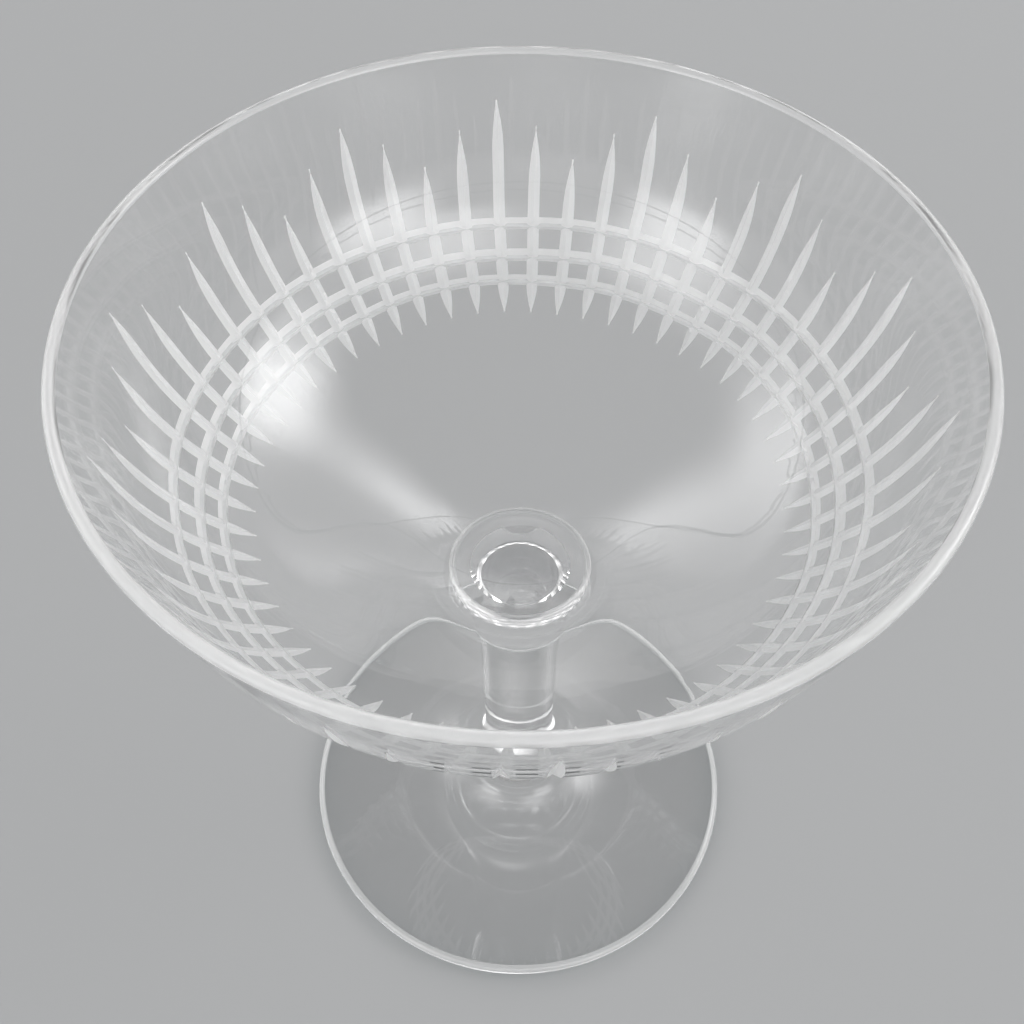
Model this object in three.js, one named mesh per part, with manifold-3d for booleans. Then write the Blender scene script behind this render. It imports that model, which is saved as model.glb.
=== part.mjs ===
// Champagne coupe in cut crystal: a blown bowl, a collar, a drawn stem and a spread foot, fused end to end.
// Millimetres, +Z up. The origin is the centre of the ring that the foot rests on.
import * as THREE from 'three';
import { mergeVertices } from 'three/addons/utils/BufferGeometryUtils.js';
import Module from 'manifold-3d';

const wasm = await Module();
wasm.setup();

// Bowl: a straight wall that leans out to a round lip, a round knee, and a shallow cone down to the collar
const glassHeight = 110;
const rimDiameter = 100;
const rimThickness = 1.5;
const wallLean = THREE.MathUtils.degToRad(15.9);
const kneeRadius = 36.5;
const floorSlope = THREE.MathUtils.degToRad(30);
const floorThickness = 2;
const wellRadius = 30;
const bowlDepth = 46.5;

// Collar: a flat button of glass with a round edge, between the bowl and the stem
const collarDiameter = 19.6;
const collarThickness = 1.2;

// Stem: a solid round rod, tapered, with a small cone that spreads under the collar
const stemTopDiameter = 11.3;
const stemLowDiameter = 10.9;
const shoulderDiameter = 14.2;
const shoulderHeight = 3.2;

// Foot: a thin disc with a swept neck, standing on a narrow ring round a shallow hollow
const footDiameter = 68.4;
const footEdgeThickness = 2;
const footNeckHeight = 19;
const footNeckSweep = 12.5;
const footShoulderDiameter = 26;
const footShoulderRise = 3.4;
const restRingWidth = 3.5;
const footHollowHeight = 1.4;

// Cut pattern: levels are drops below the rim, depths are square to the wall
const ringDrops = [23.2, 26.7, 29.2];
const ringCutDepth = 0.3;
const spearCount = 56;
const spearTopDrops = [7, 11, 14.8, 11];
const spearTipDrop = 32;
const spearCutDepth = 0.56;
const spearUpperRunOut = 7;
const spearLowerRunOut = 4;
const mitreAngle = THREE.MathUtils.degToRad(110);
const cutterProud = 0.5;

// Fineness of the facets
const bowlSegments = spearCount;
const kneeSteps = 7;
const wellSteps = 4;
const lipQuarterSteps = 2;
const edgeSteps = 6;
const stemSegments = 32;
const footSegments = 48;
const sweepSteps = 10;
const spearSteps = 6;

// Heights and radii that follow from the sizes above
const lipRadius = rimThickness / 2;
const lipCentre = new THREE.Vector2(rimDiameter / 2 - lipRadius, glassHeight - lipRadius);
const bowlSeam = glassHeight - bowlDepth;
const collarEdgeRadius = collarThickness / 2;
const collarFlatRadius = collarDiameter / 2 - collarEdgeRadius;
const stemSeam = bowlSeam - collarThickness;
const footEdgeRadius = footEdgeThickness / 2;
const restRingRadius = footDiameter / 2 - footEdgeRadius;
const wallReach = lipRadius / Math.cos(wallLean);
const innerFloor = bowlSeam + floorThickness / Math.cos(floorSlope);
const outerCurve = wallCurve(lipCentre.x + wallReach, bowlSeam, kneeRadius);
const innerCurve = wallCurve(lipCentre.x - wallReach, innerFloor, kneeRadius - floorThickness);

// Knee of a wall: an arc that touches the leaning wall, given by its radius at the lip's centre, and
// the cone of the floor, given by its height at the collar's flat
function wallCurve(radiusAtLip, floorHeight, radius) {
  const lean = Math.tan(wallLean);
  const fromFlat = radiusAtLip - radius / Math.cos(wallLean) - lipCentre.y * lean - collarFlatRadius;
  const rise = radius + floorHeight * Math.cos(floorSlope) + fromFlat * Math.sin(floorSlope);
  const height = rise / (Math.cos(floorSlope) - lean * Math.sin(floorSlope));
  const centre = new THREE.Vector2(collarFlatRadius + fromFlat + height * lean, height);
  return { centre, radius };
}

// Point of a wall at a height, on its straight part, knee or floor, with the normal out of the bowl
function wallPoint(curve, height) {
  const kneeFall = (curve.centre.y - height) / curve.radius;
  const fall = THREE.MathUtils.clamp(kneeFall, Math.sin(wallLean), Math.cos(floorSlope));
  const normal = new THREE.Vector2(Math.sqrt(1 - fall ** 2), -fall);
  const touch = curve.centre.clone().addScaledVector(normal, curve.radius);
  const point = new THREE.Vector2(touch.x + ((height - touch.y) * fall) / normal.x, height);
  return { point, normal };
}

// Part of a circle about a centre, from one angle to another
function circleArc(centre, radius, from, to, steps) {
  const points = [];
  for (let step = 0; step <= steps; step += 1) {
    const angle = THREE.MathUtils.lerp(from, to, step / steps);
    const offset = new THREE.Vector2(Math.cos(angle), Math.sin(angle));
    points.push(offset.multiplyScalar(radius).add(centre));
  }
  return points;
}

// Position-only copy of a geometry, with shared corners merged and collapsed triangles dropped
function weld(geometry) {
  const bare = new THREE.BufferGeometry();
  bare.setAttribute('position', geometry.getAttribute('position'));
  bare.setIndex(geometry.getIndex());
  const merged = mergeVertices(bare, 1e-4);
  const corners = merged.getIndex().array;
  const kept = [];
  for (let i = 0; i < corners.length; i += 3) {
    const [a, b, c] = corners.slice(i, i + 3);
    if (a !== b && b !== c && c !== a) {
      kept.push(a, b, c);
    }
  }
  merged.setIndex(kept);
  return merged;
}

// Turned solid about the Z axis: the profile runs up the outside, from the axis back to the axis
function revolve(profile, segments) {
  const lathe = new THREE.LatheGeometry(profile, segments);
  return weld(lathe.rotateX(Math.PI / 2));
}

function toSolid(geometry) {
  const vertProperties = new Float32Array(geometry.getAttribute('position').array);
  const triVerts = new Uint32Array(geometry.getIndex().array);
  return new wasm.Manifold(new wasm.Mesh({ numProp: 3, vertProperties, triVerts }));
}

function toGeometry(solid) {
  const mesh = solid.getMesh();
  const geometry = new THREE.BufferGeometry();
  geometry.setAttribute('position', new THREE.BufferAttribute(mesh.vertProperties, 3));
  geometry.setIndex(new THREE.BufferAttribute(mesh.triVerts, 1));
  geometry.computeVertexNormals();
  return geometry;
}

// Bowl before it is cut: up the outside, over the lip, and down the inside to a round well on the axis
function bowlBlank() {
  const floorAngle = floorSlope - Math.PI / 2;
  const wellRise = (wellRadius - collarFlatRadius * Math.sin(floorSlope)) / Math.cos(floorSlope);
  const wellCentre = new THREE.Vector2(0, innerFloor + wellRise);
  const well = circleArc(wellCentre, wellRadius, floorAngle, -Math.PI / 2, wellSteps);
  well.at(-1).x = 0;
  const profile = [
    new THREE.Vector2(0, bowlSeam),
    new THREE.Vector2(collarFlatRadius, bowlSeam),
    ...circleArc(outerCurve.centre, outerCurve.radius, floorAngle, -wallLean, kneeSteps),
    ...circleArc(lipCentre, lipRadius, 0, Math.PI / 2, lipQuarterSteps),
    ...circleArc(lipCentre, lipRadius, Math.PI / 2, Math.PI - wallLean, lipQuarterSteps),
    ...circleArc(innerCurve.centre, innerCurve.radius, -wallLean, floorAngle, kneeSteps),
    ...well,
  ];
  return toSolid(revolve(profile, bowlSegments));
}

// Ring cutter: a V-edged hoop whose edge goes into the wall square to it
function ringCutter(drop) {
  const { point, normal } = wallPoint(outerCurve, glassHeight - drop);
  const along = new THREE.Vector2(-normal.y, normal.x);
  const halfWidth = (ringCutDepth + cutterProud) * Math.tan(mitreAngle / 2);
  const back = point.clone().addScaledVector(normal, cutterProud);
  const upper = back.clone().addScaledVector(along, halfWidth);
  const lower = back.clone().addScaledVector(along, -halfWidth);
  const edge = point.clone().addScaledVector(normal, -ringCutDepth);
  return toSolid(revolve([lower, upper, edge, lower], bowlSegments));
}

// Depth of a spear cut at a drop below the rim: full in the middle, running out to a point at each end
function spearDepth(drop, topDrop) {
  const up = Math.min((drop - topDrop) / spearUpperRunOut, 1);
  const down = Math.min((spearTipDrop - drop) / spearLowerRunOut, 1);
  const share = Math.min(1 - (1 - up) ** 2, 1 - (1 - down) ** 2);
  return spearCutDepth * share;
}

// Spear cutter: a V-edged wedge that follows the wall in the XZ plane and lifts out at both ends
function spearCutter(topDrop) {
  const positions = [];
  for (let step = 0; step <= spearSteps; step += 1) {
    const eased = (1 - Math.cos((Math.PI * step) / spearSteps)) / 2;
    const drop = THREE.MathUtils.lerp(topDrop, spearTipDrop, eased);
    const depth = spearDepth(drop, topDrop);
    const halfWidth = (depth + cutterProud) * Math.tan(mitreAngle / 2);
    const { point, normal } = wallPoint(outerCurve, glassHeight - drop);
    const edge = point.clone().addScaledVector(normal, -depth);
    const back = point.clone().addScaledVector(normal, cutterProud);
    positions.push(edge.x, 0, edge.y, back.x, -halfWidth, back.y, back.x, halfWidth, back.y);
  }
  const corners = [];
  for (let step = 0; step < spearSteps; step += 1) {
    for (let side = 0; side < 3; side += 1) {
      const here = 3 * step + side;
      const next = 3 * step + ((side + 1) % 3);
      corners.push(here, here + 3, next, next, here + 3, next + 3);
    }
  }
  const last = 3 * spearSteps;
  corners.push(0, 1, 2, last, last + 2, last + 1);
  const geometry = new THREE.BufferGeometry();
  geometry.setAttribute('position', new THREE.Float32BufferAttribute(positions, 3));
  geometry.setIndex(corners);
  return geometry;
}

function bowlGeometry() {
  let bowl = bowlBlank();
  for (const drop of ringDrops) {
    bowl = bowl.subtract(ringCutter(drop));
  }
  const wedges = spearTopDrops.map(spearCutter);
  for (let spear = 0; spear < spearCount; spear += 1) {
    const wedge = wedges[spear % wedges.length].clone();
    wedge.rotateZ((2 * Math.PI * spear) / spearCount);
    bowl = bowl.subtract(toSolid(wedge));
  }
  return toGeometry(bowl);
}

function collarGeometry() {
  const edgeCentre = new THREE.Vector2(collarFlatRadius, stemSeam + collarEdgeRadius);
  const profile = [
    new THREE.Vector2(0, stemSeam),
    ...circleArc(edgeCentre, collarEdgeRadius, -Math.PI / 2, Math.PI / 2, edgeSteps),
    new THREE.Vector2(0, bowlSeam),
  ];
  return revolve(profile, stemSegments);
}

function stemGeometry() {
  const profile = [
    new THREE.Vector2(0, footNeckHeight),
    new THREE.Vector2(stemLowDiameter / 2, footNeckHeight),
    new THREE.Vector2(stemTopDiameter / 2, stemSeam - shoulderHeight),
    new THREE.Vector2(shoulderDiameter / 2, stemSeam),
    new THREE.Vector2(0, stemSeam),
  ];
  return revolve(profile, stemSegments);
}

function footGeometry() {
  const neckRadius = stemLowDiameter / 2;
  const edgeCentre = new THREE.Vector2(restRingRadius, footEdgeRadius);
  const edge = circleArc(edgeCentre, footEdgeRadius, -Math.PI / 2, Math.PI / 2, edgeSteps);
  const sweep = new THREE.CubicBezierCurve(
    edge.at(-1),
    new THREE.Vector2(footShoulderDiameter / 2, footEdgeThickness + footShoulderRise),
    new THREE.Vector2(neckRadius, footNeckHeight - footNeckSweep),
    new THREE.Vector2(neckRadius, footNeckHeight),
  );
  const profile = [
    new THREE.Vector2(0, footHollowHeight),
    new THREE.Vector2(restRingRadius - restRingWidth, 0),
    ...edge,
    ...sweep.getPoints(sweepSteps).slice(1),
    new THREE.Vector2(0, footNeckHeight),
  ];
  return revolve(profile, footSegments);
}

// Clear lead crystal, polished
function crystal() {
  return new THREE.MeshStandardMaterial({
    color: '#eef2f3',
    roughness: 0.04,
    metalness: 0,
    transparent: true,
    opacity: 0.35,
  });
}

const coupe = new THREE.Group();

function addPiece(name, geometry) {
  const piece = new THREE.Mesh(geometry, crystal());
  piece.name = name;
  coupe.add(piece);
}

addPiece('bowl', bowlGeometry());
addPiece('collar', collarGeometry());
addPiece('stem', stemGeometry());
addPiece('foot', footGeometry());

export default coupe;
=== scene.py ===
"""Looks of a champagne coupe in cut crystal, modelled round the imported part.

The bowl's wall is drawn for one wave of the cut pattern, and Geometry Nodes repeat the wave round the axis.
The collar, the stem and the foot are turned shapes. All lengths are in metres.
"""
import math

import bpy
import numpy as np
from mathutils import Euler, Matrix, Vector


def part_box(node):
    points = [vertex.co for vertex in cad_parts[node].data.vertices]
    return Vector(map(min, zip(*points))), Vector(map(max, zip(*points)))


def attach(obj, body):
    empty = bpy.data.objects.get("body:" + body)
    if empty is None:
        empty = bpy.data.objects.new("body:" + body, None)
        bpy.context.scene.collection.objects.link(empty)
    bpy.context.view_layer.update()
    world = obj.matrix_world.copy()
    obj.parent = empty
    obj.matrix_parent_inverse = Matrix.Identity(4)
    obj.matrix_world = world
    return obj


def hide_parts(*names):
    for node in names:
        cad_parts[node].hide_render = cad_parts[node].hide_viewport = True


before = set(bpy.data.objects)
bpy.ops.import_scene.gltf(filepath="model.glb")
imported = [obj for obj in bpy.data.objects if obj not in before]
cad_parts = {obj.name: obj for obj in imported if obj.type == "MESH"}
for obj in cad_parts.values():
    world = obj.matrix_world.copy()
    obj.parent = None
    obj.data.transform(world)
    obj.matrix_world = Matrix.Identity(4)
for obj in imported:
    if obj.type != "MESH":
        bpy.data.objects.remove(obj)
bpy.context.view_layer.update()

MM = 0.001

# Sizes that the frame gives
bowl_low, bowl_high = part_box("bowl")
collar_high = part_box("collar")[1]
stem_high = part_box("stem")[1]
foot_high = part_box("foot")[1]
GLASS_HEIGHT = bowl_high.z
RIM_RADIUS = bowl_high.x
BOWL_SEAM = bowl_low.z
COLLAR_RADIUS = collar_high.x
STEM_SEAM = stem_high.z
SHOULDER_RADIUS = stem_high.x
NECK_HEIGHT = foot_high.z
FOOT_RADIUS = foot_high.x

# Collar, stem and foot
COLLAR_EDGE_RADIUS = (BOWL_SEAM - STEM_SEAM) / 2
COLLAR_FLAT_RADIUS = COLLAR_RADIUS - COLLAR_EDGE_RADIUS
STEM_TOP_RADIUS = 5.65 * MM
STEM_LOW_RADIUS = 5.45 * MM
SHOULDER_HEIGHT = 3.2 * MM
SHOULDER_EASE = 1.2 * MM
FOOT_EDGE_RADIUS = 1 * MM
FOOT_NECK_SWEEP = 12.5 * MM
FOOT_SHOULDER_RADIUS = 13 * MM
FOOT_SHOULDER_RISE = 3.4 * MM
REST_RING_WIDTH = 3.5 * MM
FOOT_HOLLOW = 1.4 * MM

# Bowl: a straight wall that leans out to a round lip, a round knee, and a shallow cone down to the collar
RIM_THICKNESS = 1.5 * MM
WALL_LEAN = math.radians(15.9)
KNEE_RADIUS = 36.5 * MM
FLOOR_SLOPE = math.radians(30)
FLOOR_THICKNESS = 2 * MM
WELL_RADIUS = 30 * MM
LIP_RADIUS = RIM_THICKNESS / 2
LIP_CENTRE = RIM_RADIUS - LIP_RADIUS
LIP_HEIGHT = GLASS_HEIGHT - LIP_RADIUS

# Wall profiles: where an arc meets the floor's cone, how far a bend eases into a straight, and the step
FLOOR_TURN = FLOOR_SLOPE - math.pi / 2
EASE_REACH = 8 * MM
PROFILE_STEP = 0.1 * MM

# Cut pattern: levels are drops below the rim, and depths are square to the wall.
# The rings are cut deeper than the spears, so they run unbroken across them.
RING_DROPS = (23.2 * MM, 26.7 * MM, 29.2 * MM)
RING_DEPTH = 0.5 * MM
RING_SLOPE = math.tan(math.radians(80) / 2)
SPEAR_COUNT = 56
SPEAR_TOP_DROPS = (7 * MM, 11 * MM, 14.8 * MM, 11 * MM)
SPEAR_TIP_DROP = 32 * MM
SPEAR_DEPTH = 0.42 * MM
SPEAR_SLOPE = math.tan(math.radians(125) / 2)
UPPER_RUN_OUT = 7 * MM
LOWER_RUN_OUT = 3 * MM
LEAST_CUT = 1e-4 * MM

# Camera: where the photograph was taken from, measured from the centre of the lip
PHOTO_SIDE_PX = 1024
PHOTO_FOCAL_PX = 1300
CAMERA_BACK = 99.7 * MM
CAMERA_ABOVE_LIP = 98 * MM
CAMERA_PITCH = math.radians(52.83)
CAMERA_YAW = math.radians(-0.62)
CAMERA_TURN = math.radians(8.4)
SENSOR_MM = 36

# Which finish a face takes
POLISHED, CUT, GROUND, FUSED = 0, 1, 2, 3

# How lead crystal bends light, and the angle above which an edge stays crisp
CRYSTAL_IOR = 1.54
SHARP_ABOVE = math.radians(32)


def linear(hex_colour):
    """sRGB hex as a linear colour with full alpha."""
    parts = [int(hex_colour[i:i + 2], 16) / 255 for i in (1, 3, 5)]
    return [c / 12.92 if c <= 0.04045 else ((c + 0.055) / 1.055) ** 2.4 for c in parts] + [1]


def add(tree, kind, inputs=None, **settings):
    """Adds a node with its settings, and feeds its inputs by link or by value."""
    node = tree.nodes.new(kind)
    for name, value in settings.items():
        setattr(node, name, value)
    for key, value in (inputs or {}).items():
        if isinstance(value, bpy.types.NodeSocket):
            tree.links.new(value, node.inputs[key])
        else:
            node.inputs[key].default_value = value
    return node


def new_material(name):
    """An empty node material with its tree."""
    material = bpy.data.materials.new(name)
    material.use_nodes = True
    material.node_tree.nodes.clear()
    return material, material.node_tree


def finish_glass(tree, shader, face_on, edge_on):
    """Ends a glass: light falls straight through it, so that it throws the thin shadow of clear glass."""
    rays = add(tree, "ShaderNodeLightPath")
    edge = add(tree, "ShaderNodeLayerWeight", {"Blend": 0.15})
    tint = add(tree, "ShaderNodeMix", {"Factor": edge.outputs["Facing"], "A": linear(face_on),
                                       "B": linear(edge_on)}, data_type="RGBA")
    pass_light = add(tree, "ShaderNodeBsdfTransparent", {"Color": tint.outputs["Result"]})
    for ray in ("Is Shadow Ray", "Is Diffuse Ray"):
        shader = add(tree, "ShaderNodeMixShader", {0: rays.outputs[ray], 1: shader.outputs[0],
                                                   2: pass_light.outputs[0]})
    add(tree, "ShaderNodeOutputMaterial", {"Surface": shader.outputs[0]})


def fire_polished_crystal():
    """Lead crystal blown and fire-polished: colourless and brilliant, with the faint waves of hand work."""
    material, tree = new_material("lead crystal, fire-polished")
    place = add(tree, "ShaderNodeTexCoord")
    wave_length = 14 * MM
    waves = add(tree, "ShaderNodeTexNoise", {"Vector": place.outputs["Object"], "Scale": 1 / wave_length,
                                             "Detail": 1.0})
    # The pitch that the wave node has by itself, and the one wanted
    ripple_pitch = 3.2 * MM
    pitch_at_scale_one = 2 * math.pi / 20
    ripples = add(tree, "ShaderNodeTexWave", {"Vector": place.outputs["Object"], "Distortion": 1.5,
                                              "Detail": 0.0, "Detail Scale": 0.05,
                                              "Scale": pitch_at_scale_one / ripple_pitch},
                  wave_type="RINGS", rings_direction="Z")
    marks = add(tree, "ShaderNodeMath", {0: ripples.outputs["Fac"], 1: 0.15, 2: waves.outputs["Fac"]},
                operation="MULTIPLY_ADD")
    bump = add(tree, "ShaderNodeBump", {"Height": marks.outputs[0], "Strength": 0.5, "Distance": 0.01 * MM})
    shader = add(tree, "ShaderNodeBsdfPrincipled", {"Base Color": linear("#fefefe"), "Roughness": 0.0,
                                                    "IOR": CRYSTAL_IOR, "Transmission Weight": 1.0,
                                                    "Normal": bump.outputs["Normal"]})
    finish_glass(tree, shader, face_on="#fdfdfd", edge_on="#8f9294")
    return material


def wheel_cut_crystal():
    """Lead crystal cut by a mitre wheel and acid-polished: a soft satin that reads as pale silver bars."""
    material, tree = new_material("lead crystal, wheel-cut")
    shader = add(tree, "ShaderNodeBsdfPrincipled", {"Base Color": linear("#fafafa"), "Roughness": 0.28,
                                                    "IOR": CRYSTAL_IOR, "Transmission Weight": 0.28})
    finish_glass(tree, shader, face_on="#c9cccd", edge_on="#7f8486")
    return material


def ground_crystal():
    """Lead crystal ground on a flat wheel and polished: nearly clear, with a faint bloom."""
    material, tree = new_material("lead crystal, ground and polished")
    shader = add(tree, "ShaderNodeBsdfPrincipled", {"Base Color": linear("#fafafa"), "Roughness": 0.2,
                                                    "IOR": CRYSTAL_IOR, "Transmission Weight": 0.7})
    finish_glass(tree, shader, face_on="#e4e8e8", edge_on="#8b9294")
    return material


def fused_seam():
    """Where two gathers of hot glass flowed into one: nothing shows at the seam."""
    material, tree = new_material("crystal seam, fused")
    clear = add(tree, "ShaderNodeBsdfTransparent", {"Color": (1, 1, 1, 1)})
    add(tree, "ShaderNodeOutputMaterial", {"Surface": clear.outputs[0]})
    return material


def wall_knee(radius_at_lip, floor_height, radius):
    """Knee of a wall, as (radius, height) of its centre and its own radius.

    It touches the leaning wall, given by its radius at the lip's centre, and the cone of the floor, given
    by its height at the collar's flat.
    """
    lean = math.tan(WALL_LEAN)
    from_flat = radius_at_lip - radius / math.cos(WALL_LEAN) - LIP_HEIGHT * lean - COLLAR_FLAT_RADIUS
    rise = radius + floor_height * math.cos(FLOOR_SLOPE) + from_flat * math.sin(FLOOR_SLOPE)
    height = rise / (math.cos(FLOOR_SLOPE) - lean * math.sin(FLOOR_SLOPE))
    return COLLAR_FLAT_RADIUS + from_flat + height * lean, height, radius


def arc(centre, start, end, count=200):
    """Points of an arc between two turns, given as (radius, height) of its centre and its own radius."""
    centre_radius, centre_height, radius = centre
    turns = np.linspace(start, end, count)
    radii = centre_radius + radius * np.cos(turns)
    heights = centre_height + radius * np.sin(turns)
    return np.stack([radii, heights], axis=1)


def eased(points):
    """Profile along these points whose bends flow into its straights, as they do in blown glass.

    Each point becomes a weighted mean of its neighbours. Past its ends the profile is carried on by turning
    it about the end point, so that the ends stay where they are.
    """
    points = np.array(points)
    lengths = np.concatenate([[0], np.cumsum(np.linalg.norm(np.diff(points, axis=0), axis=1))])
    steps = np.linspace(0, lengths[-1], round(lengths[-1] / PROFILE_STEP) + 1)
    even = np.stack([np.interp(steps, lengths, side) for side in points.T], axis=1)
    half = round(EASE_REACH / PROFILE_STEP)
    weights = np.hanning(2 * half + 3)[1:-1]
    before = 2 * even[0] - even[half:0:-1]
    after = 2 * even[-1] - even[-2:-half - 2:-1]
    padded = np.concatenate([before, even, after])
    return np.stack([np.convolve(side, weights / weights.sum(), "valid") for side in padded.T], axis=1)


def outer_wall():
    """The outside of the bowl before it is cut, from the seam to the lip."""
    lip = LIP_CENTRE + LIP_RADIUS / math.cos(WALL_LEAN)
    knee = wall_knee(lip, BOWL_SEAM, KNEE_RADIUS)
    return eased([(COLLAR_FLAT_RADIUS, BOWL_SEAM), *arc(knee, FLOOR_TURN, -WALL_LEAN), (lip, LIP_HEIGHT)])


def inner_wall():
    """The inside of the bowl, from the axis to the lip. Easing runs past the axis, so the well is round."""
    lip = LIP_CENTRE - LIP_RADIUS / math.cos(WALL_LEAN)
    floor = BOWL_SEAM + FLOOR_THICKNESS / math.cos(FLOOR_SLOPE)
    knee = wall_knee(lip, floor, KNEE_RADIUS - FLOOR_THICKNESS)
    well_rise = (WELL_RADIUS - COLLAR_FLAT_RADIUS * math.sin(FLOOR_SLOPE)) / math.cos(FLOOR_SLOPE)
    well = (0, floor + well_rise, WELL_RADIUS)
    past_axis = -math.pi / 2 - EASE_REACH / WELL_RADIUS
    bends = [*arc(well, past_axis, FLOOR_TURN), *arc(knee, FLOOR_TURN, -WALL_LEAN)]
    profile = eased([*bends, (lip, LIP_HEIGHT)])
    return profile[profile[:, 0] > 0]


OUTER = outer_wall()
INNER = inner_wall()


def on_wall(wall, height):
    """Radius of a wall at a height, and its unit normal out of the bowl as (away from the axis, up)."""
    radius, level = wall.T
    slope = np.interp(height, level, np.gradient(radius, level))
    away = 1 / np.sqrt(1 + slope ** 2)
    return np.interp(height, level, radius), away, -slope * away


def spear_depth(drop, top_drop):
    """Depth of a spear cut: full in the middle, running out to a point at each end."""
    up = np.clip((drop - top_drop) / UPPER_RUN_OUT, 0, 1)
    down = np.clip((SPEAR_TIP_DROP - drop) / LOWER_RUN_OUT, 0, 1)
    return SPEAR_DEPTH * np.minimum(1 - (1 - up) ** 2, 1 - (1 - down) ** 2)


def ring_depth(drop):
    """Depth of the ring cuts, which falls with the distance along the wall from a ring's middle."""
    steepness = on_wall(OUTER, GLASS_HEIGHT - drop)[1]
    depths = [RING_DEPTH - np.abs(drop - ring) / steepness / RING_SLOPE for ring in RING_DROPS]
    return np.maximum(np.max(depths, axis=0), 0)


def wall_drops():
    """Levels of the outer wall's rows: close at the cuts, wider elsewhere."""
    row_pitch = 0.7 * MM
    lip_rows, tip_rows, floor_rows = 7, 9, 19
    top = GLASS_HEIGHT - LIP_HEIGHT + LIP_RADIUS * math.sin(WALL_LEAN)
    drops = list(np.linspace(top, SPEAR_TOP_DROPS[0], lip_rows))
    low = SPEAR_TOP_DROPS[0]
    for ring in RING_DROPS:
        half = RING_DEPTH * RING_SLOPE * on_wall(OUTER, GLASS_HEIGHT - ring)[1]
        steps = max(4, round((ring - half - low) / row_pitch))
        drops += list(np.linspace(low, ring - half, steps + 1))[1:]
        drops += [ring + half * share for share in (-0.5, -0.2, 0, 0.2, 0.5, 1)]
        low = ring + half
    drops += list(np.linspace(low, SPEAR_TIP_DROP, tip_rows))[1:]
    drops += list(np.linspace(SPEAR_TIP_DROP, GLASS_HEIGHT - BOWL_SEAM, floor_rows))[1:]
    return np.array(drops)


def wave_columns(drops):
    """For one wave: each column's angle, row by row, and the spear depth there.

    Each spear has columns on its valley, its flanks and its edges, and on the uncut land to both sides.
    Above and below a spear its columns spread out, so that the faces there stay even.
    """
    pitch = 2 * math.pi / SPEAR_COUNT
    least_spread = 0.1 * MM
    spread_rate = 0.25
    radius = on_wall(OUTER, GLASS_HEIGHT - drops)[0]
    angles, depths = [], []
    for spear, top_drop in enumerate(SPEAR_TOP_DROPS):
        depth = spear_depth(drops, top_drop)
        past_end = np.maximum(np.maximum(top_drop - drops, drops - SPEAR_TIP_DROP), 0)
        spread = np.minimum(least_spread + spread_rate * past_end, radius * pitch / 4)
        half_angle = np.maximum(depth * SPEAR_SLOPE, spread) / radius
        for across in (-1.5, -1.25, -1, -0.5, 0, 0.5, 1, 1.25):
            if abs(across) <= 1:
                offset = across * half_angle
            else:
                land = (abs(across) - 1) * 2
                offset = math.copysign(1, across) * (half_angle + land * (pitch / 2 - half_angle))
            angles.append(spear * pitch + offset)
            depths.append(np.maximum(depth - np.abs(offset) * radius / SPEAR_SLOPE, 0))
    angles.append(angles[0] + len(SPEAR_TOP_DROPS) * pitch)
    depths.append(depths[0])
    return np.array(angles).T, np.array(depths).T


def turned_rows():
    """Rows above the outer wall, as (radius, height, finish): over the lip, down the inside to the well."""
    lip_rows, inside_rows, clear_of_lip = 13, 60, 3
    lip = arc((LIP_CENTRE, LIP_HEIGHT, LIP_RADIUS), -WALL_LEAN, math.pi - WALL_LEAN, lip_rows)[1:]
    picks = np.linspace(len(INNER) - 1, 0, inside_rows).round().astype(int)
    inside = INNER[picks[clear_of_lip:]]
    return [(*point, GROUND) for point in lip] + [(*point, POLISHED) for point in inside]


def bowl_rows():
    """Rows of one wave, from the seam up the outside, over the lip and down the inside to the well.

    A row is its columns' angles, radii, heights and depths of cut, then its wall and its finish.
    """
    drops = wall_drops()[::-1]
    heights = (GLASS_HEIGHT - drops)[:, None]
    angles, spears = wave_columns(drops)
    depth = np.maximum(spears, ring_depth(drops)[:, None])
    radius, away, up = on_wall(OUTER, heights)
    cut_radius = radius - depth * away
    cut_height = heights - depth * up
    level = np.ones(angles.shape[1])
    rows = []
    for share in (0.4, 0.7):
        seam_radius = level * COLLAR_FLAT_RADIUS * share
        rows.append((angles[0], seam_radius, level * BOWL_SEAM, level * 0, OUTER, FUSED))
    for j in range(len(drops)):
        rows.append((angles[j], cut_radius[j], cut_height[j], depth[j], OUTER, POLISHED))
    for turned_radius, height, finish in turned_rows():
        rows.append((angles[-1], level * turned_radius, level * height, level * 0, INNER, finish))
    return rows


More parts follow.
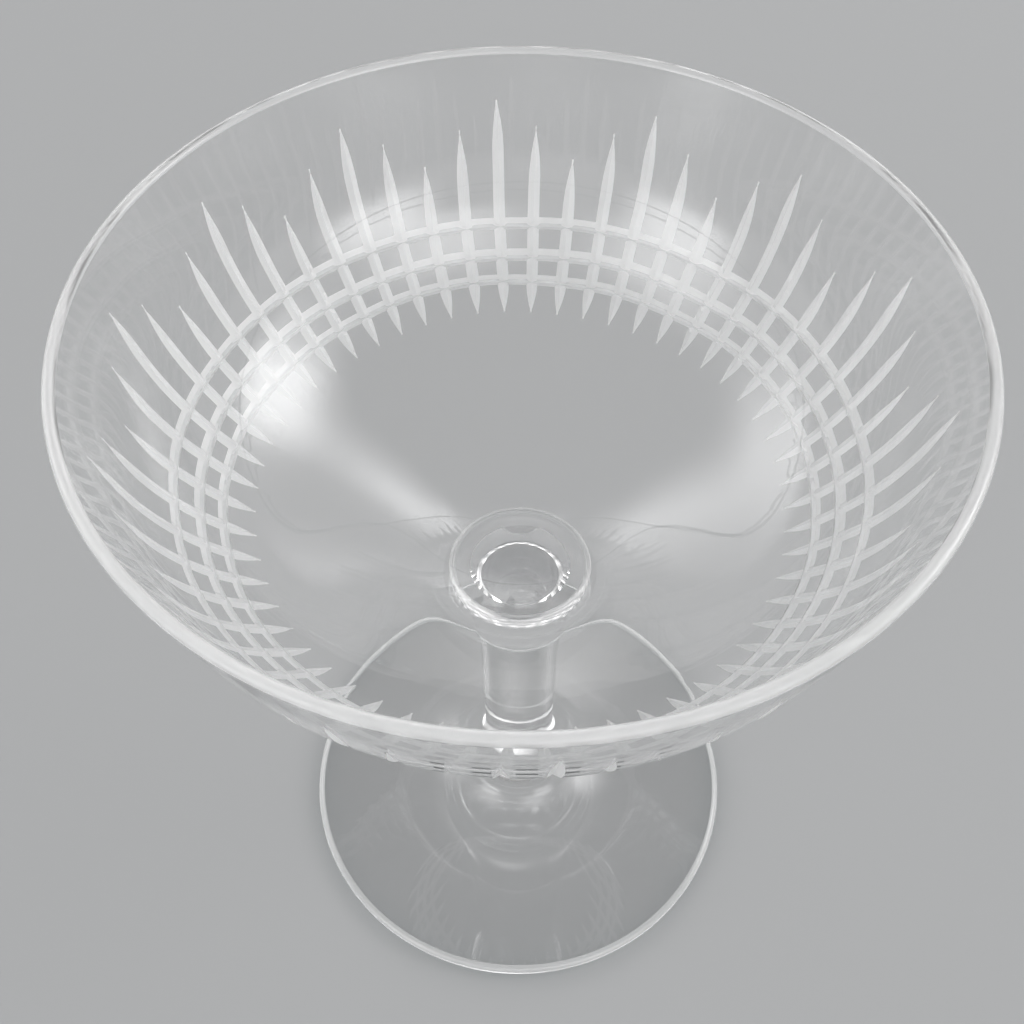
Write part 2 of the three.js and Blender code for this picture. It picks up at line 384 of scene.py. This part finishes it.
def bowl_wave_mesh():
    """One wave of the bowl as a mesh. Faces carry their finish, and points the slope of their wall."""
    rows = bowl_rows()
    well_height = rows.pop()[2][0]
    count = len(rows[0][0])
    vertices, slopes = [], []
    for angles, radii, heights, _, wall, _ in rows:
        vertices += list(zip(radii * np.cos(angles), radii * np.sin(angles), heights))
        _, away, up = on_wall(wall, heights)
        slopes += list(-up / away)
    faces, finishes = [], []
    for j, (low, high) in enumerate(zip(rows, rows[1:])):
        deepest = np.maximum(low[3], high[3])
        uncut = FUSED if low[5] == FUSED else high[5]
        for i in range(count - 1):
            corner = j * count + i
            faces.append([corner, corner + 1, corner + count + 1, corner + count])
            is_cut = max(deepest[i], deepest[i + 1]) > LEAST_CUT
            finishes.append(CUT if is_cut else uncut)
    poles = len(vertices)
    vertices += [(0, 0, BOWL_SEAM), (0, 0, well_height)]
    slopes += [0, 0]
    last = (len(rows) - 1) * count
    for i in range(count - 1):
        faces += [[poles, i + 1, i], [poles + 1, last + i, last + i + 1]]
        finishes += [FUSED, POLISHED]
    mesh = bpy.data.meshes.new("bowl wave")
    mesh.from_pydata(vertices, [], faces)
    mesh.attributes.new("finish", "INT", "FACE").data.foreach_set("value", finishes)
    mesh.attributes.new("slope", "FLOAT", "POINT").data.foreach_set("value", slopes)
    return mesh


def waves_round_axis_tree(materials):
    """Repeats one wave round the Z axis, welds the copies, lets the cuts wander, and finishes the faces.

    The cuts wander along the wall, round it and up its slope, so that the polished wall stays true.
    """
    tree = bpy.data.node_groups.new("waves round the axis", "GeometryNodeTree")
    wanted = {"Wave": "NodeSocketGeometry", "Waves round": "NodeSocketInt"}
    for length in ("Weld distance", "Hand wander", "Wander length", "Band middle", "Free within",
                   "Steady beyond"):
        wanted[length] = "NodeSocketFloat"
    names = {}
    for name, kind in wanted.items():
        names[name] = tree.interface.new_socket(name, in_out="INPUT", socket_type=kind).identifier
    tree.interface.new_socket("Bowl", in_out="OUTPUT", socket_type="NodeSocketGeometry")
    source = add(tree, "NodeGroupInput").outputs

    # Copies round the axis, welded
    points = add(tree, "GeometryNodePoints", {"Count": source["Waves round"]})
    index = add(tree, "GeometryNodeInputIndex")
    step = add(tree, "ShaderNodeMath", {0: 2 * math.pi, 1: source["Waves round"]}, operation="DIVIDE")
    turn = add(tree, "ShaderNodeMath", {0: index.outputs[0], 1: step.outputs[0]}, operation="MULTIPLY")
    rotation = add(tree, "ShaderNodeCombineXYZ", {"Z": turn.outputs[0]})
    copies = add(tree, "GeometryNodeInstanceOnPoints", {"Points": points.outputs[0],
                                                        "Instance": source["Wave"],
                                                        "Rotation": rotation.outputs[0]})
    whole = add(tree, "GeometryNodeRealizeInstances", {"Geometry": copies.outputs[0]})
    welded = add(tree, "GeometryNodeMergeByDistance", {"Geometry": whole.outputs[0],
                                                       "Distance": source["Weld distance"]})

    # Wander round the wall and up it, without its part away from the axis
    place = add(tree, "GeometryNodeInputPosition")
    density = add(tree, "ShaderNodeMath", {0: 1.0, 1: source["Wander length"]}, operation="DIVIDE")
    noise = add(tree, "ShaderNodeTexNoise", {"Vector": place.outputs[0], "Scale": density.outputs[0],
                                             "Detail": 1.0})
    centred = add(tree, "ShaderNodeVectorMath", {0: noise.outputs["Color"], 1: (0.5, 0.5, 0.5)},
                  operation="SUBTRACT")
    level = add(tree, "ShaderNodeVectorMath", {0: place.outputs[0], 1: (1, 1, 0)}, operation="MULTIPLY")
    outward = add(tree, "ShaderNodeVectorMath", {0: centred.outputs[0], 1: level.outputs[0]},
                  operation="PROJECT")
    sliding = add(tree, "ShaderNodeVectorMath", {0: centred.outputs[0], 1: outward.outputs[0]},
                  operation="SUBTRACT")

    # What rises also follows the wall's slope
    away = add(tree, "ShaderNodeVectorMath", {0: level.outputs[0]}, operation="NORMALIZE")
    rise = add(tree, "ShaderNodeSeparateXYZ", {0: centred.outputs[0]})
    slope = add(tree, "GeometryNodeInputNamedAttribute", {"Name": "slope"}, data_type="FLOAT")
    lean = add(tree, "ShaderNodeMath", {0: rise.outputs["Z"], 1: slope.outputs["Attribute"]},
               operation="MULTIPLY")
    follow = add(tree, "ShaderNodeVectorMath", {0: away.outputs[0], "Scale": lean.outputs[0]},
                 operation="SCALE")
    along = add(tree, "ShaderNodeVectorMath", {0: sliding.outputs[0], 1: follow.outputs[0]},
                operation="ADD")

    # Free in the cut band, steady at the lip and in the floor
    height = add(tree, "ShaderNodeSeparateXYZ", {0: place.outputs[0]})
    from_middle = add(tree, "ShaderNodeMath", {0: height.outputs["Z"], 1: source["Band middle"]},
                      operation="SUBTRACT")
    distance = add(tree, "ShaderNodeMath", {0: from_middle.outputs[0]}, operation="ABSOLUTE")
    freedom = add(tree, "ShaderNodeMapRange", {"Value": distance.outputs[0], "To Min": 0.0,
                                               "From Min": source["Steady beyond"],
                                               "From Max": source["Free within"],
                                               "To Max": source["Hand wander"]},
                  interpolation_type="SMOOTHSTEP")
    offset = add(tree, "ShaderNodeVectorMath", {0: along.outputs[0], "Scale": freedom.outputs[0]},
                 operation="SCALE")
    shaped = add(tree, "GeometryNodeSetPosition", {"Geometry": welded.outputs[0],
                                                   "Offset": offset.outputs[0]})

    finish = add(tree, "GeometryNodeInputNamedAttribute", {"Name": "finish"}, data_type="INT")
    for kind, material in materials.items():
        chosen = add(tree, "FunctionNodeCompare", {"A": finish.outputs["Attribute"], "B": kind},
                     data_type="INT", operation="EQUAL")
        shaped = add(tree, "GeometryNodeSetMaterial", {"Geometry": shaped.outputs[0], "Material": material,
                                                       "Selection": chosen.outputs[0]})
    add(tree, "NodeGroupOutput", {"Bowl": shaped.outputs[0]})
    return tree, names


def show(name, mesh):
    """A mesh as an object of the scene, at the origin."""
    piece = bpy.data.objects.new(name, mesh)
    bpy.context.scene.collection.objects.link(piece)
    return piece


def shade(mesh):
    """Smooth shading that keeps steep edges crisp, and every edge between two finishes."""
    mesh.shade_smooth()
    mesh.set_sharp_from_angle(angle=SHARP_ABOVE)
    finish = np.zeros(len(mesh.polygons), int)
    mesh.polygons.foreach_get("material_index", finish)
    corners = np.zeros(len(mesh.polygons), int)
    mesh.polygons.foreach_get("loop_total", corners)
    edges = np.zeros(len(mesh.loops), int)
    mesh.loops.foreach_get("edge_index", edges)
    lowest = np.full(len(mesh.edges), len(mesh.materials))
    highest = np.zeros(len(mesh.edges), int)
    np.minimum.at(lowest, edges, np.repeat(finish, corners))
    np.maximum.at(highest, edges, np.repeat(finish, corners))
    sharp = np.zeros(len(mesh.edges), bool)
    mesh.attributes["sharp_edge"].data.foreach_get("value", sharp)
    mesh.attributes["sharp_edge"].data.foreach_set("value", sharp | (lowest != highest))


def make_bowl(materials):
    """The blown and cut bowl: 14 waves of 4 spears, crossed by three rings."""
    wave = show("wave", bowl_wave_mesh())
    tree, names = waves_round_axis_tree(materials)
    repeat = wave.modifiers.new("waves", "NODES")
    repeat.node_group = tree
    repeat[names["Waves round"]] = SPEAR_COUNT // len(SPEAR_TOP_DROPS)
    repeat[names["Weld distance"]] = 0.002 * MM
    repeat[names["Hand wander"]] = 1.2 * MM
    repeat[names["Wander length"]] = 24 * MM
    repeat[names["Band middle"]] = GLASS_HEIGHT - (SPEAR_TOP_DROPS[0] + SPEAR_TIP_DROP) / 2
    repeat[names["Free within"]] = 9 * MM
    repeat[names["Steady beyond"]] = 17 * MM
    evaluated = wave.evaluated_get(bpy.context.evaluated_depsgraph_get())
    mesh = bpy.data.meshes.new_from_object(evaluated)
    bpy.data.objects.remove(wave)
    shade(mesh)
    return show("crystal_bowl", mesh)


def turned(name, profile, materials, steps=160):
    """Turns a profile of (radius, height, finish) points, from axis to axis, into a closed mesh."""
    vertices, faces, finishes = [], [], []
    rings = []
    for radius, height, _ in profile:
        if radius == 0:
            rings.append([len(vertices)])
            vertices.append((0, 0, height))
            continue
        rings.append(list(range(len(vertices), len(vertices) + steps)))
        for i in range(steps):
            angle = 2 * math.pi * i / steps
            vertices.append((radius * math.cos(angle), radius * math.sin(angle), height))
    for low, high, (_, _, finish) in zip(rings, rings[1:], profile):
        for i in range(steps):
            k = (i + 1) % steps
            if len(low) == 1:
                faces.append([low[0], high[k], high[i]])
            elif len(high) == 1:
                faces.append([low[i], low[k], high[0]])
            else:
                faces.append([low[i], low[k], high[k], high[i]])
            finishes.append(finish)
    mesh = bpy.data.meshes.new(name)
    mesh.from_pydata(vertices, [], faces)
    used = sorted(set(finishes))
    for finish in used:
        mesh.materials.append(materials[finish])
    mesh.polygons.foreach_set("material_index", [used.index(finish) for finish in finishes])
    shade(mesh)
    return show(name, mesh)


def round_edge(centre_radius, centre_height, radius, count=15):
    """Points of a rounded edge with a faint bloom, from underneath to on top."""
    points = arc((centre_radius, centre_height, radius), -math.pi / 2, math.pi / 2, count)
    return [(*point, GROUND) for point in points]


def make_collar(materials):
    """The flat round button of glass between bowl and stem."""
    edge = round_edge(COLLAR_FLAT_RADIUS, STEM_SEAM + COLLAR_EDGE_RADIUS, COLLAR_EDGE_RADIUS)
    edge[-1] = (COLLAR_FLAT_RADIUS, BOWL_SEAM, FUSED)
    profile = [(0, STEM_SEAM, FUSED), (SHOULDER_RADIUS, STEM_SEAM, POLISHED), *edge, (0, BOWL_SEAM, FUSED)]
    return turned("crystal_collar", profile, materials)


def bezier(corners, steps):
    """Points of a Bezier curve with these corners, without the first."""
    degree = len(corners) - 1
    points = []
    for t in np.linspace(0, 1, steps + 1)[1:]:
        weights = [math.comb(degree, i) * t ** i * (1 - t) ** (degree - i) for i in range(degree + 1)]
        radius, height = np.array(weights) @ np.array(corners)
        points.append((radius, height, POLISHED))
    return points


def make_stem(materials):
    """The solid drawn stem, which spreads in a small cone under the collar."""
    corner = (STEM_TOP_RADIUS, STEM_SEAM - SHOULDER_HEIGHT)
    below = (STEM_TOP_RADIUS, corner[1] - SHOULDER_EASE)
    up_cone = ((STEM_TOP_RADIUS + SHOULDER_RADIUS) / 2, STEM_SEAM - SHOULDER_HEIGHT / 2)
    profile = [(0, NECK_HEIGHT, FUSED), (STEM_LOW_RADIUS, NECK_HEIGHT, POLISHED), (*below, POLISHED)]
    profile += bezier((below, corner, up_cone), steps=10)
    profile += [(SHOULDER_RADIUS, STEM_SEAM, FUSED), (0, STEM_SEAM, FUSED)]
    return turned("crystal_stem", profile, materials)


def make_foot(materials):
    """The spread foot: a thin round edge, a neck that sweeps up to the stem, and a shallow hollow below."""
    ring = FOOT_RADIUS - FOOT_EDGE_RADIUS
    edge_top = 2 * FOOT_EDGE_RADIUS
    edge = round_edge(ring, FOOT_EDGE_RADIUS, FOOT_EDGE_RADIUS)
    edge[-1] = (ring, edge_top, POLISHED)
    profile = [(0, FOOT_HOLLOW, POLISHED), (ring - REST_RING_WIDTH, 0, POLISHED), *edge]
    corners = ((ring, edge_top), (FOOT_SHOULDER_RADIUS, edge_top + FOOT_SHOULDER_RISE),
               (STEM_LOW_RADIUS, NECK_HEIGHT - FOOT_NECK_SWEEP), (STEM_LOW_RADIUS, NECK_HEIGHT))
    profile += bezier(corners, steps=40)
    profile[-1] = (STEM_LOW_RADIUS, NECK_HEIGHT, FUSED)
    profile.append((0, NECK_HEIGHT, FUSED))
    return turned("crystal_foot", profile, materials)


def make_floor():
    """Pale grey painted board, matt: it takes soft shadows and shows no reflection."""
    material, tree = new_material("painted board, pale grey matt")
    shader = add(tree, "ShaderNodeBsdfPrincipled", {"Base Color": linear("#acadae"), "Roughness": 0.7})
    add(tree, "ShaderNodeOutputMaterial", {"Surface": shader.outputs[0]})
    reach = 8.0
    gap = 0.15 * MM
    mesh = bpy.data.meshes.new("floor")
    corners = [(-reach, -reach, -gap), (reach, -reach, -gap), (reach, reach, -gap), (-reach, reach, -gap)]
    mesh.from_pydata(corners, [], [(0, 1, 2, 3)])
    mesh.materials.append(material)
    show("floor", mesh)


def make_softbox(name, place, width, height, watts):
    """A softbox that faces the glass and fades towards its edges, so its reflection has no hard outline."""
    lamp = bpy.data.lights.new(name, "AREA")
    lamp.shape = "RECTANGLE"
    lamp.size = width
    lamp.size_y = height
    lamp.energy = watts
    lamp.use_nodes = True
    tree = lamp.node_tree
    tree.nodes.clear()
    face = add(tree, "ShaderNodeNewGeometry")
    across = add(tree, "ShaderNodeSeparateXYZ", {0: face.outputs["Parametric"]})
    centre, rim, full_within = 0.5, 0.5, 0.12
    fades = []
    for side in ("X", "Y"):
        off_centre = add(tree, "ShaderNodeMath", {0: across.outputs[side], 1: centre}, operation="SUBTRACT")
        distance = add(tree, "ShaderNodeMath", {0: off_centre.outputs[0]}, operation="ABSOLUTE")
        fades.append(add(tree, "ShaderNodeMapRange", {"Value": distance.outputs[0], "From Min": rim,
                                                      "From Max": full_within},
                         interpolation_type="SMOOTHSTEP"))
    fade = add(tree, "ShaderNodeMath", {0: fades[0].outputs["Result"], 1: fades[1].outputs["Result"]},
               operation="MULTIPLY")
    glow = add(tree, "ShaderNodeEmission", {"Color": (1, 1, 1, 1), "Strength": fade.outputs[0]})
    add(tree, "ShaderNodeOutputLight", {"Surface": glow.outputs[0]})
    box = bpy.data.objects.new(name, lamp)
    bpy.context.scene.collection.objects.link(box)
    aim = Vector((0, 0, GLASS_HEIGHT / 2))
    box.location = place
    box.rotation_euler = (Vector(place) - aim).to_track_quat("Z", "Y").to_euler()


def make_world():
    """A light tent of five soft panels round the glass, dim overhead, so cuts and edges catch light."""
    panel_count = 5.0
    panel_turn = math.radians(10)
    panel_light_by_rise = {0.26: 0, 0.38: 1, 0.55: 1, 0.75: 0}
    world = bpy.data.worlds.new("light tent")
    bpy.context.scene.world = world
    world.use_nodes = True
    tree = world.node_tree
    tree.nodes.clear()
    place = add(tree, "ShaderNodeTexCoord")
    towards = add(tree, "ShaderNodeSeparateXYZ", {0: place.outputs["Generated"]})
    ramp = add(tree, "ShaderNodeValToRGB", {0: towards.outputs["Z"]})
    ramp.color_ramp.interpolation = "EASE"
    stops = ramp.color_ramp.elements
    stops.remove(stops[1])
    for i, (position, level) in enumerate(panel_light_by_rise.items()):
        stop = stops[0] if i == 0 else stops.new(position)
        stop.position = position
        stop.color = (level, level, level, 1)
    bearing = add(tree, "ShaderNodeMath", {0: towards.outputs["Y"], 1: towards.outputs["X"]},
                  operation="ARCTAN2")
    turns = add(tree, "ShaderNodeMath", {0: bearing.outputs[0], 1: panel_count, 2: panel_turn},
                operation="MULTIPLY_ADD")
    panels = add(tree, "ShaderNodeMath", {0: turns.outputs[0]}, operation="SINE")
    reach = add(tree, "ShaderNodeMapRange", {"Value": panels.outputs[0], "From Min": -1.0, "From Max": 1.0,
                                             "To Min": 0.2, "To Max": 2.4})
    lit = add(tree, "ShaderNodeMath", {0: ramp.outputs["Color"], 1: reach.outputs["Result"]},
              operation="MULTIPLY")
    overhead = add(tree, "ShaderNodeMapRange", {"Value": towards.outputs["Z"], "From Min": 0.2,
                                                "From Max": 0.8, "To Min": 0.8, "To Max": 0.3})
    strength = add(tree, "ShaderNodeMath", {0: lit.outputs[0], 1: overhead.outputs["Result"]},
                   operation="ADD")
    glow = add(tree, "ShaderNodeBackground", {"Color": (1, 1, 1, 1), "Strength": strength.outputs[0]})
    add(tree, "ShaderNodeOutputWorld", {"Surface": glow.outputs[0]})


def make_camera():
    """The photograph's camera, turned round the axis so that the spears stand where they do there."""
    lens = bpy.data.cameras.new("camera")
    lens.sensor_width = SENSOR_MM
    lens.lens = SENSOR_MM * PHOTO_FOCAL_PX / PHOTO_SIDE_PX
    lens.clip_start = 1 * MM
    camera = bpy.data.objects.new("camera", lens)
    bpy.context.scene.collection.objects.link(camera)
    turn = Matrix.Rotation(CAMERA_TURN, 3, "Z")
    camera.location = turn @ Vector((0, -CAMERA_BACK, LIP_HEIGHT + CAMERA_ABOVE_LIP))
    camera.rotation_euler = Euler((math.pi / 2 - CAMERA_PITCH, 0, CAMERA_TURN - CAMERA_YAW))
    bpy.context.scene.camera = camera


def set_view():
    """Plain view transform, and enough bounces for light to find its way through the glass."""
    scene = bpy.context.scene
    scene.view_settings.view_transform = "Standard"
    scene.cycles.max_bounces = 32
    scene.cycles.transmission_bounces = 32
    scene.cycles.glossy_bounces = 12
    scene.cycles.transparent_max_bounces = 32
    scene.cycles.caustics_reflective = False
    scene.cycles.caustics_refractive = False


finishes = {
    POLISHED: fire_polished_crystal(),
    CUT: wheel_cut_crystal(),
    GROUND: ground_crystal(),
    FUSED: fused_seam(),
}
pieces = (
    (make_bowl(finishes), "bowl", "cut_crystal"),
    (make_collar(finishes), "collar", "plain_crystal"),
    (make_stem(finishes), "stem", "plain_crystal"),
    (make_foot(finishes), "foot", "plain_crystal"),
)
for piece, node, slot in pieces:
    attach(piece, "root")
    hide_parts(node)

make_floor()
make_softbox("window softbox", place=(1.5, 0.6, 1.15), width=1.2, height=1.4, watts=16)
make_softbox("left fill", place=(-1.2, -1.5, 0.55), width=1.6, height=0.8, watts=12.8)
make_softbox("right fill", place=(1.5, -1.2, 0.55), width=1.6, height=0.8, watts=12.8)
make_world()
make_camera()
set_view()
